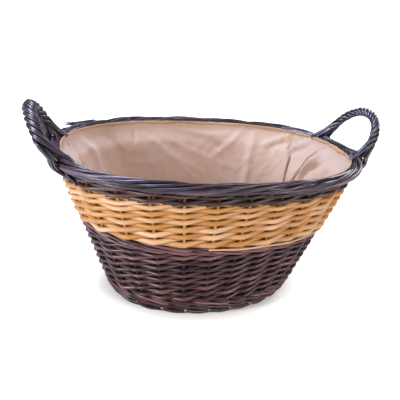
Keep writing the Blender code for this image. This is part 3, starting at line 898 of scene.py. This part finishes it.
def ease_feet(path):
    """The same path, eased off where the rope runs out into its feet."""
    for _ in range(5):
        path = smooth_ends(path)
    for _ in range(24):
        eased = list(path)
        for index in range(1, len(path) - 1):
            if FEET_FROM < path[index].z < FEET_TO:
                before, after = path[index - 1], path[index + 1]
                eased[index] = (before + path[index] * 2 + after) / 4
        path = eased
    return path


def make_handle(name, side, cad_nodes, seed, line, lean, flare, turns, stout, strays):
    """line is the bow's. The roping makes these turns on its way over it and spreads
    by flare at the feet, and stout is how thick both are, against the right handle's.
    Strays are short spare rods: their knots, radius and how much they taper."""
    chance = random.Random(seed)
    bow = evenly(line, BOW_POINTS)
    rods = Bundle()
    rods.lay(bow, [BOW_RADIUS * stout] * len(bow), 0.15)

    roped = evenly([point for point in line if point.z > ROPE_START], ROPE_POINTS)
    outside = Vector((side * math.cos(lean), 0, -math.sin(lean)))
    frames = []
    for index, centre in enumerate(roped):
        along = heading(roped, index)
        inward = along.cross(outside).normalized()
        frames.append((centre, inward.cross(along).normalized(), inward))
    feet = [rim_place(bow[0]), rim_place(bow[-1])]
    for rod in range(ROPE_RODS):
        tone = chance.random()
        girth = ROPE_ROD_RADIUS * stout * chance.uniform(0.92, 1.10)
        wobble = chance.uniform(0, 6)
        rope = []
        for index, (centre, outward, inward) in enumerate(frames):
            share = index / (len(frames) - 1)
            turned = rod * math.tau / ROPE_RODS + math.tau * turns * share
            near_foot = flare * abs(2 * share - 1) ** 4
            reach = ROPE_RADIUS * stout + 0.0003 * math.sin(share * 30 + wobble) + near_foot
            spoke = outward * math.cos(side * turned) + inward * math.sin(side * turned)
            rope.append(centre + spoke * reach)
        ends = []
        for end, place, away in zip((0, -1), feet, (-side, side)):
            centre, outward, inward = frames[end]
            spoke = (rope[end] - centre).normalized()
            ends.append(threaded_end(place, spoke, outward, away, chance))
        start = smooth_path([*reversed(ends[0]), *rope[:2]])[:-KNOT_STEPS - 1]
        finish = smooth_path(rope[-2:] + ends[1])[KNOT_STEPS + 1:]
        path = ease_feet(start + rope + finish)
        rods.lay(path, [girth] * len(path), tone)
    for knots, radius, taper in strays:
        path = list(reversed(smooth_path(knots)))
        radii = [radius * min(1.0, 1 - taper + 0.12 * index) for index in range(len(path))]
        rods.lay(path, radii, 0.6, cut=Vector((0, 0, 1.0)))
    made = rods.make(name, handle_bark, pale_cut)
    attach(made, "root")
    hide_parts(*cad_nodes)


LEFT_LEAN = 0.395
RIGHT_LEAN = 0.42

left_bow = bow_line(-1, 0.0725, (1.80, 2.40), LEFT_LEAN, far_share=0.88, off_centre=-0.011)
right_bow = bow_line(1, 0.0800, (2.26, 2.10), RIGHT_LEAN, far_share=1.0, off_centre=-0.001)

# At the left handle's near foot two ends are threaded down in front of the rim and a
# blunt one lies inside it, and behind its far foot two thin ends stick out.
left_strays = []
for place in (24.38, 24.70):
    knots = rim_line([(place - 0.05, -10, 0.0095), (place - 0.02, -55, 0.0125)])
    knots += [on_wall(place, 0.2725, 0.0098), on_wall(place + 0.04, 0.2655, 0.0090)]
    left_strays.append((knots, 0.0021, 0.0))
blunt = rim_line([(place, 118, 0.0128) for place in (23.4, 23.7, 23.95, 24.15)])
left_strays.append((blunt, 0.0027, 0.0))
for degrees, place in ((58, 20.75), (30, 20.62)):
    bends = ((1.3, 0.0100), (0.8, 0.0108), (0.4, 0.0128), (0.0, 0.0180))
    knots = rim_line([(place - from_tip, degrees, reach) for from_tip, reach in bends])
    left_strays.append((knots, 0.0024, 0.72))
make_handle(
    "left_roped_handle",
    side=-1,
    cad_nodes=["left_handle_bow", *[f"left_handle_strand_{number}" for number in (1, 2, 3)]],
    seed=83,
    line=left_bow,
    lean=LEFT_LEAN,
    flare=0.0012,
    turns=2.1,
    stout=1.30,
    strays=left_strays,
)

# Behind the right handle's near foot a spare border rod is tucked in.
spare = rim_line([(8.7, 10, 0.0095), (8.3, 16, 0.0135), (7.9, 22, 0.0150), (7.3, 14, 0.0110)])
make_handle(
    "right_roped_handle",
    side=1,
    cad_nodes=["right_handle_bow", *[f"right_handle_strand_{number}" for number in (1, 2, 3)]],
    seed=97,
    line=right_bow,
    lean=RIGHT_LEAN,
    flare=0.0010,
    turns=2.7,
    stout=1.0,
    strays=[(spare, 0.0034, 0.5)],
)


# Liner. One piece of tan cotton, sewn to the basket's shape, lines the floor and the
# wall up to the rim. It is a little too big, so it hangs in soft drags and in a few
# sharper pleats at the right-hand end. Its back is painted with the light and shade
# seen between the rods: painted shade behind the dark bands, and painted orange
# bounce light behind the buff band.

LINER_SETBACK = 0.0118
LINER_THICKNESS = 0.0008
LINER_TOP = 0.2912
LINER_FLOOR = 0.0374
FLOOR_CURVE = 0.016
INSIDE_RIM = 0.0112
CLOTH_PER_STAKE = 0.045
CLOTH_DEPTH = 0.40
FLOOR_MAP_AWAY = 9.0
SEAM_FROM = STAKES * 0.040

# On its way from the top edge to the middle of the floor, the cloth is wall until the
# first of these shares, and then curves over into the floor until the second.
WALL_UNTIL = 0.78
CURVE_UNTIL = 0.86
WALL_ROWS = 44
CURVE_ROWS = 6
FLOOR_ROWS = 12

# The pleated end is a place, and the gap between stakes is taken as even for folds.
PLEATED_END = 9.6
STAKE_GAP = 0.044
FOLD_REACH = 4.5
FLARE_FROM = 0.250
FLARE_HEIGHT = 0.036

cotton, tree, shader = new_material("tan_cotton")
cloth = add_node(tree, "UVMap", uv_map="cloth").outputs["UV"]
inputs = {"Vector": cloth, "Scale": 320.0, "Distortion": 1.5}
warp = add_node(tree, "TexWave", inputs, bands_direction="X").outputs["Fac"]
weft = add_node(tree, "TexWave", inputs, bands_direction="Y").outputs["Fac"]
crossing = add_node(tree, "Math", {0: warp, 1: weft}, operation="MULTIPLY")
inputs = {"Height": crossing.outputs[0], "Strength": 0.25, "Distance": 0.0003}
bump = add_node(tree, "Bump", inputs)
cloud = add_node(tree, "TexNoise", {"Vector": cloth, "Scale": 9.0, "Detail": 4.0})
stops = ((0.30, (0.42, 0.275, 0.205)), (0.70, (0.48, 0.345, 0.290)))
feed(shader, {"Base Color": add_ramp(tree, cloud.outputs["Fac"], stops), "Roughness": 0.62})
feed(shader, {"Sheen Weight": 0.25, "Sheen Roughness": 0.45, "Normal": bump.outputs["Normal"]})

cotton_back_painted_light = cotton.copy()
cotton_back_painted_light.name = "cotton_back_painted_light"
tree = cotton_back_painted_light.node_tree
# Painted shade below the belt and above the buff band, painted warm bounce light between them.
stops = ((0.162, (0.020, 0.011, 0.009)), (0.172, (0.80, 0.38, 0.090)))
stops += ((0.252, (0.62, 0.26, 0.060)), (0.262, (0.070, 0.030, 0.018)))
feed(tree.nodes["Principled BSDF"], {"Base Color": height_ramp(tree, stops)})

# Each fold: places and heights along it, how far it stands in, and its half width.
FOLDS = (
    (((11.08, 0.27), (11.0, 0.256), (10.7, 0.238), (10.5, 0.19), (10.3, 0.14)), -0.01, 0.0024),
    (((11.1, 0.262), (10.7, 0.225), (10.4, 0.17)), 0.0106, 0.026),
    (((9.55, 0.272), (9.7, 0.235), (9.9, 0.202), (10.05, 0.15)), -0.0106, 0.0026),
    (((9.55, 0.268), (9.7, 0.225), (9.95, 0.18)), 0.0106, 0.023),
    (((9.6, 0.268), (9.2, 0.278)), -0.005, 0.003),
    (((8.25, 0.282), (8.7, 0.256), (9.4, 0.226), (9.6, 0.195)), -0.0075, 0.0055),
    (((9.1, 0.276), (9.42, 0.248), (9.75, 0.21)), 0.0063, 0.0075),
    (((7.9, 0.276), (8.5, 0.238), (9.2, 0.2)), 0.0081, 0.012),
    (((11.0, 0.254), (10.6, 0.267), (10.2, 0.284)), 0.0069, 0.006),
    (((10.75, 0.246), (10.4, 0.256), (10.1, 0.266)), -0.0044, 0.0045),
    (((12.3, 0.252), (12.0, 0.259), (11.4, 0.275), (11.25, 0.283)), 0.0056, 0.0055),
    (((11.95, 0.248), (11.5, 0.258), (11.25, 0.266)), -0.0037, 0.0045),
    (((11.35, 0.288), (11.25, 0.262)), 0.0037, 0.003),
    (((11.15, 0.288), (11.02, 0.268)), -0.0044, 0.0026),
    (((10.95, 0.288), (10.85, 0.264)), 0.0037, 0.003),
    (((12.75, 0.286), (12.72, 0.217), (12.6, 0.14)), 0.0042, 0.008),
    (((13.2, 0.284), (13.5, 0.262), (13.9, 0.24), (14.6, 0.212)), 0.004, 0.006),
    (((16.3, 0.278), (15.2, 0.267), (14.3, 0.262), (13.75, 0.268)), 0.0036, 0.006),
    (((15.6, 0.258), (14.6, 0.248), (14.1, 0.236)), -0.0026, 0.009),
    (((17.6, 0.264), (16.9, 0.238), (15.9, 0.204), (14.8, 0.178)), 0.003, 0.005),
    (((17.2, 0.238), (16.2, 0.204), (15.2, 0.164)), 0.0026, 0.0045),
    (((16.9, 0.262), (15.7, 0.232), (14.3, 0.206), (13.1, 0.19)), 0.0026, 0.0055),
    (((18.9, 0.212), (17.6, 0.206), (16.8, 0.208)), 0.002, 0.0035),
    (((17.92, 0.28), (18.12, 0.246)), -0.0026, 0.003),
    (((19.4, 0.284), (19.0, 0.25), (18.9, 0.18)), -0.0022, 0.009),
    (((20.9, 0.286), (20.55, 0.276), (20.2, 0.244), (20.15, 0.19)), 0.0046, 0.0085),
    (((21.7, 0.286), (21.8, 0.27), (22.1, 0.247), (22.3, 0.2)), 0.005, 0.0036),
    (((21.2, 0.278), (21.3, 0.24), (21.2, 0.18)), -0.003, 0.007),
    (((23.4, 0.284), (23.2, 0.22), (23.4, 0.14)), 0.0042, 0.01),
    (((25.4, 0.282), (25.0, 0.2), (25.3, 0.12)), 0.004, 0.012),
    (((27.2, 0.28), (26.8, 0.23), (27.0, 0.15)), 0.0032, 0.007),
    (((1.6, 0.282), (2.1, 0.23), (1.9, 0.13)), 0.0036, 0.011),
    (((3.9, 0.284), (3.5, 0.24), (3.7, 0.18)), -0.003, 0.0045),
    (((5.2, 0.282), (5.6, 0.22), (5.5, 0.12)), 0.0044, 0.012),
    (((6.9, 0.284), (6.7, 0.25), (7.2, 0.19)), 0.004, 0.0065),
)


def liner_push(place, height):
    """How far the cloth stands in from the wall, in metres.

    Broad swells, slanting drags and gathers at the hem, with the folds added.
    """
    angle = math.tau * place / STAKES
    around = Vector((math.cos(angle), math.sin(angle), 0.0))
    depth = max(0.0, LINER_TOP - height)
    push = 0.0048 * (0.5 + 0.5 * noise.noise(around * 2.3 + Vector((0, 0, height * 8.0))))
    slant = around * 6.0 + Vector((0.0, 0.0, 3.0 + height * 38.0 + place * 0.9))
    ridge = 1.0 - abs(noise.noise(slant)) * 3.4
    push += 0.0012 * max(0.0, ridge) ** 1.5
    pleated = math.exp(-(((place - PLEATED_END) / 2.4) ** 2))
    gather = math.exp(-depth / (0.014 + 0.020 * pleated))
    pucker = noise.noise(around * (14.0 + 4.0 * pleated) + Vector((0, 0, depth * 9.0)))
    push += (0.0014 + 0.0030 * pleated) * gather * max(-0.4, pucker)
    for line, size, width in FOLDS:
        first = line[0][0]
        past = stakes_past(place, first)
        if abs(past) > FOLD_REACH:
            continue
        nearest = math.inf
        along = 0.0
        pieces = len(line) - 1
        for number in range(pieces):
            (a, low), (b, high) = line[number], line[number + 1]
            across = (b - a) * STAKE_GAP
            rise = high - low
            away = (first + past - a) * STAKE_GAP
            share = (away * across + (height - low) * rise) / (across ** 2 + rise ** 2)
            share = min(1.0, max(0.0, share))
            gap = math.hypot(away - across * share, height - low - rise * share)
            if gap < nearest:
                nearest = gap
                along = (number + share) / pieces
        if nearest < width * 2.6:
            fading = max(0.0, 1 - abs(2 * along - 1) ** 3.0) ** 0.6
            push += size * fading * math.exp(-((nearest / width) ** 2))
    return max(push, 0.0)


def hung_point(place, height, inset=0.0):
    """A point of cloth that hangs along the wall, and near its top along the rim."""
    push = liner_push(place, height)
    point = on_wall(place, height, -LINER_SETBACK - push - inset)
    flare = min(1.0, max(0.0, height - FLARE_FROM) / FLARE_HEIGHT)
    inside = on_rim(place, math.pi, INSIDE_RIM + push * 0.1 + inset)
    return point.lerp(Vector((inside.x, inside.y, point.z)), flare ** 1.1)


def liner_point(place, depth_share):
    """depth_share runs from 0 at the top edge, to 1 at the middle of the floor."""
    curve_top = LINER_FLOOR + FLOOR_CURVE
    if depth_share < WALL_UNTIL:
        return hung_point(place, LINER_TOP + (curve_top - LINER_TOP) * depth_share / WALL_UNTIL)
    if depth_share < CURVE_UNTIL:
        turn = (depth_share - WALL_UNTIL) / (CURVE_UNTIL - WALL_UNTIL) * math.pi / 2
        inset = FLOOR_CURVE * (1 - math.cos(turn))
        height = LINER_FLOOR + FLOOR_CURVE * (1 - math.sin(turn))
        push = liner_push(place, curve_top) * math.cos(turn)
        return on_wall(place, height, -LINER_SETBACK - inset - push)
    edge = on_wall(place, LINER_FLOOR, -LINER_SETBACK - FLOOR_CURVE)
    share = 1 - (depth_share - CURVE_UNTIL) / (1 - CURVE_UNTIL)
    point = Vector((edge.x * share, edge.y * share, LINER_FLOOR))
    ruck = noise.noise(Vector((point.x * 22, point.y * 22, 2.0)))
    point.z += 0.0016 * (0.5 + 0.5 * ruck) * math.sin(math.pi * min(1.0, share)) ** 0.5
    return point


def cloth_piece(name, points, faces, finishes):
    """The cloth's object, alone selected and active, with a layer for its map."""
    mesh = new_mesh(name, points, faces, finishes)
    mesh.uv_layers.new(name="cloth")
    made = add_object(name, mesh)
    bpy.context.view_layer.objects.active = made
    made.select_set(True)
    return made


# The pleats at the right-hand end need more columns than the rest.
columns = []
for stake in range(STAKES):
    steps = 44 if 9 <= stake <= 11 else 18
    columns += [stake + step / steps for step in range(steps)]
depths = [WALL_UNTIL * (row / WALL_ROWS) ** 1.2 for row in range(WALL_ROWS + 1)]
for row in range(1, CURVE_ROWS + 1):
    depths.append(WALL_UNTIL + (CURVE_UNTIL - WALL_UNTIL) * row / CURVE_ROWS)
for row in range(1, FLOOR_ROWS):
    depths.append(CURVE_UNTIL + (1 - CURVE_UNTIL) * row / FLOOR_ROWS)
points = []
cloth_uv = []
for depth_share in depths:
    for place in columns:
        points.append(liner_point(place, depth_share))
        cloth_uv.append((place * CLOTH_PER_STAKE, depth_share * CLOTH_DEPTH))
centre = len(points)
points.append(Vector((0, 0, LINER_FLOOR + 0.0004)))
cloth_uv.append((0.0, CLOTH_DEPTH))
breadth = len(columns)
floor_start = (WALL_ROWS + 1 + CURVE_ROWS) * breadth
faces = []
for row in range(len(depths) - 1):
    for column in range(breadth):
        beside = (column + 1) % breadth
        top = row * breadth
        low = top + breadth
        faces.append((low + column, low + beside, top + beside, top + column))
last = (len(depths) - 1) * breadth
for column in range(breadth):
    faces.append((centre, last + (column + 1) % breadth, last + column))
liner = cloth_piece("cotton_liner", points, faces, (cotton_back_painted_light, cotton))

# The floor has a map of its own, away from the wall's, and the wall's map is carried
# on past the last column of points, where the cloth meets itself again.
for polygon in liner.data.polygons:
    for loop, corner in zip(polygon.loop_indices, polygon.vertices):
        u, v = cloth_uv[corner]
        if corner >= floor_start:
            u, v = points[corner].x + FLOOR_MAP_AWAY, points[corner].y + FLOOR_MAP_AWAY
        elif u == 0.0 and any(cloth_uv[other][0] > SEAM_FROM for other in polygon.vertices):
            u = STAKES * CLOTH_PER_STAKE
        liner.data.uv_layers["cloth"].data[loop].uv = (u, v)
thickness = liner.modifiers.new("thickness", "SOLIDIFY")
thickness.thickness = LINER_THICKNESS
thickness.offset = 0.0
thickness.material_offset = 1
bpy.ops.object.modifier_apply(modifier=thickness.name)
liner.select_set(False)
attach(liner, "root")
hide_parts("liner")


# Hem. The liner's top edge is turned over and stitched to the basket just below the
# rim, so it shows as a narrow, slightly puckered strip in the rim's shadow.

HEM_TOP = 0.2912
HEM_DEPTH = 0.0058
HEM_STANDOFF = 0.0012
HEM_THICKNESS = 0.0009
HEM_PROFILE = ((0.0, 0.0), (0.0, 0.55), (0.25, 1.0), (0.8, 1.0), (1.0, 0.55), (1.0, -0.35))
HEM_PROFILE += ((0.5, -0.5), (0.0, -0.35))

# The hem's cotton is painted darker and more orange than the liner's: painted shade for the rim's
# shadow.
hem_cotton = cotton.copy()
hem_cotton.name = "hem_cotton"
for node in hem_cotton.node_tree.nodes:
    if node.type == "VALTORGB":
        node.color_ramp.elements[0].color = (0.34, 0.185, 0.090, 1)
        node.color_ramp.elements[1].color = (0.54, 0.345, 0.205, 1)

hem_columns = STAKES * 24
points = []
cloth_uv = []
for column in range(hem_columns):
    place = STAKES * column / hem_columns
    pucker = noise.noise(Vector((place * 3.1, 1.0, 0.0)))
    waver = noise.noise(Vector((place * 1.1, 5.0, 0.0)))
    waver += 0.7 * noise.noise(Vector((place * 3.7, 8.0, 0.0)))
    for down, out in HEM_PROFILE:
        height = HEM_TOP - HEM_DEPTH * (0.96 + 0.50 * waver) * down
        inset = HEM_STANDOFF + HEM_THICKNESS * out + 0.0010 * pucker * down
        points.append(hung_point(place, height, inset))
        cloth_uv.append((place * CLOTH_PER_STAKE, down * 0.02))
faces = []
count = len(HEM_PROFILE)
for column in range(hem_columns):
    after = (column + 1) % hem_columns
    for corner in range(count):
        beside = (corner + 1) % count
        a = column * count
        b = after * count
        faces.append((a + corner, b + corner, b + beside, a + beside))
hem = cloth_piece("liner_hem_strip", points, faces, (hem_cotton,))
for polygon in hem.data.polygons:
    for loop, corner in zip(polygon.loop_indices, polygon.vertices):
        hem.data.uv_layers["cloth"].data[loop].uv = cloth_uv[corner]
bpy.ops.object.mode_set(mode="EDIT")
bpy.ops.mesh.select_all(action="SELECT")
bpy.ops.mesh.normals_make_consistent(inside=False)
bpy.ops.object.mode_set(mode="OBJECT")
hem.select_set(False)
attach(hem, "root")
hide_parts("liner_hem")


# Studio. A white floor that keeps the basket's shadow, a soft white room and four
# broad lamps, with the camera at the photograph's height, distance and tilt.

floor_white, tree, shader = new_material("floor_white")
place = add_node(tree, "TexCoord").outputs["Object"]
shrunk = add_node(tree, "VectorMath", {0: place, 1: (1.0, 1.35, 0.0)}, operation="MULTIPLY")
away = add_node(tree, "VectorMath", {0: shrunk.outputs[0]}, operation="LENGTH").outputs["Value"]
inputs = {"Value": away, "From Min": 0.17, "From Max": 0.24, "To Max": 0.76}
clear = add_node(tree, "MapRange", inputs)
inputs = {"Value": away, "From Min": 0.5, "From Max": 2.0, "To Max": 0.24}
far = add_node(tree, "MapRange", inputs)
glow = add_node(tree, "Math", {0: clear.outputs[0], 1: far.outputs[0]})
seen = add_node(tree, "LightPath").outputs["Is Camera Ray"]
amount = add_node(tree, "Math", {0: seen, 1: glow.outputs[0]}, operation="MULTIPLY")
feed(shader, {"Base Color": (0.72, 0.72, 0.72, 1), "Roughness": 0.9})
feed(shader, {"Emission Color": (1, 1, 1, 1), "Emission Strength": amount.outputs[0]})

bpy.ops.mesh.primitive_plane_add(size=24, location=(0, 0, 0))
floor = bpy.context.object
floor.name = "floor"
floor.data.materials.append(floor_white)
floor.select_set(False)

world = bpy.data.worlds.new("white_room")
bpy.context.scene.world = world
world.use_nodes = True
tree = world.node_tree
seen = add_node(tree, "LightPath").outputs["Is Camera Ray"]
brightness = add_node(tree, "MapRange", {"Value": seen, "To Min": 0.15, "To Max": 1.0})
strength = brightness.outputs[0]
feed(tree.nodes["Background"], {"Color": (1.0, 1.0, 1.0, 1), "Strength": strength})


def lamp(name, location, size, power, colour):
    light = bpy.data.lights.new(name, "AREA")
    light.shape = "DISK"
    light.size = size
    light.energy = power
    light.color = colour
    made = add_object(name, light)
    made.location = location
    aim = Vector((0, 0, 0.15)) - Vector(location)
    made.rotation_euler = aim.to_track_quat("-Z", "Y").to_euler()


lamp("key_lamp", (-2.0, -0.75, 1.0), 0.5, 46.0, (1.0, 0.99, 0.985))
lamp("fill_lamp", (1.3, -1.8, 1.25), 1.0, 36.0, (1.0, 0.92, 0.86))
lamp("top_lamp", (-0.5, 0.5, 1.9), 0.5, 52.0, (0.60, 0.75, 1.0))
lamp("back_lamp", (1.6, 0.9, 1.3), 0.8, 18.0, (0.96, 0.93, 1.0))

# The photograph's width, focal length and shift off centre, in its own pixels.
PHOTO_WIDTH = 400
FOCAL_LENGTH = 449.4
SHIFT_RIGHT = -2.3
SHIFT_UP = 27.3
SENSOR_WIDTH = 36.0
CAMERA_DISTANCE = 0.946
CAMERA_AIM = Vector((0, 0, 0.12))
AZIMUTH = math.radians(-17.32)
ELEVATION = math.radians(26.79)
TILT = math.radians(5.6)

level = math.cos(ELEVATION)
back = Vector((math.sin(AZIMUTH) * level, -math.cos(AZIMUTH) * level, math.sin(ELEVATION)))
right = (-back).cross(Vector((0, 0, 1))).normalized()
up = right.cross(-back)
tilted_right = right * math.cos(TILT) + up * math.sin(TILT)
tilted_up = up * math.cos(TILT) - right * math.sin(TILT)
camera_data = bpy.data.cameras.new("photo_camera")
camera_data.sensor_width = SENSOR_WIDTH
camera_data.lens = SENSOR_WIDTH * FOCAL_LENGTH / PHOTO_WIDTH
camera_data.shift_x = SHIFT_RIGHT / PHOTO_WIDTH
camera_data.shift_y = SHIFT_UP / PHOTO_WIDTH
camera = add_object("photo_camera", camera_data)
turned = Matrix((tilted_right, tilted_up, back)).transposed().to_4x4()
turned.translation = CAMERA_AIM + back * CAMERA_DISTANCE
camera.matrix_world = turned
bpy.context.scene.camera = camera
bpy.context.scene.view_settings.view_transform = "Standard"
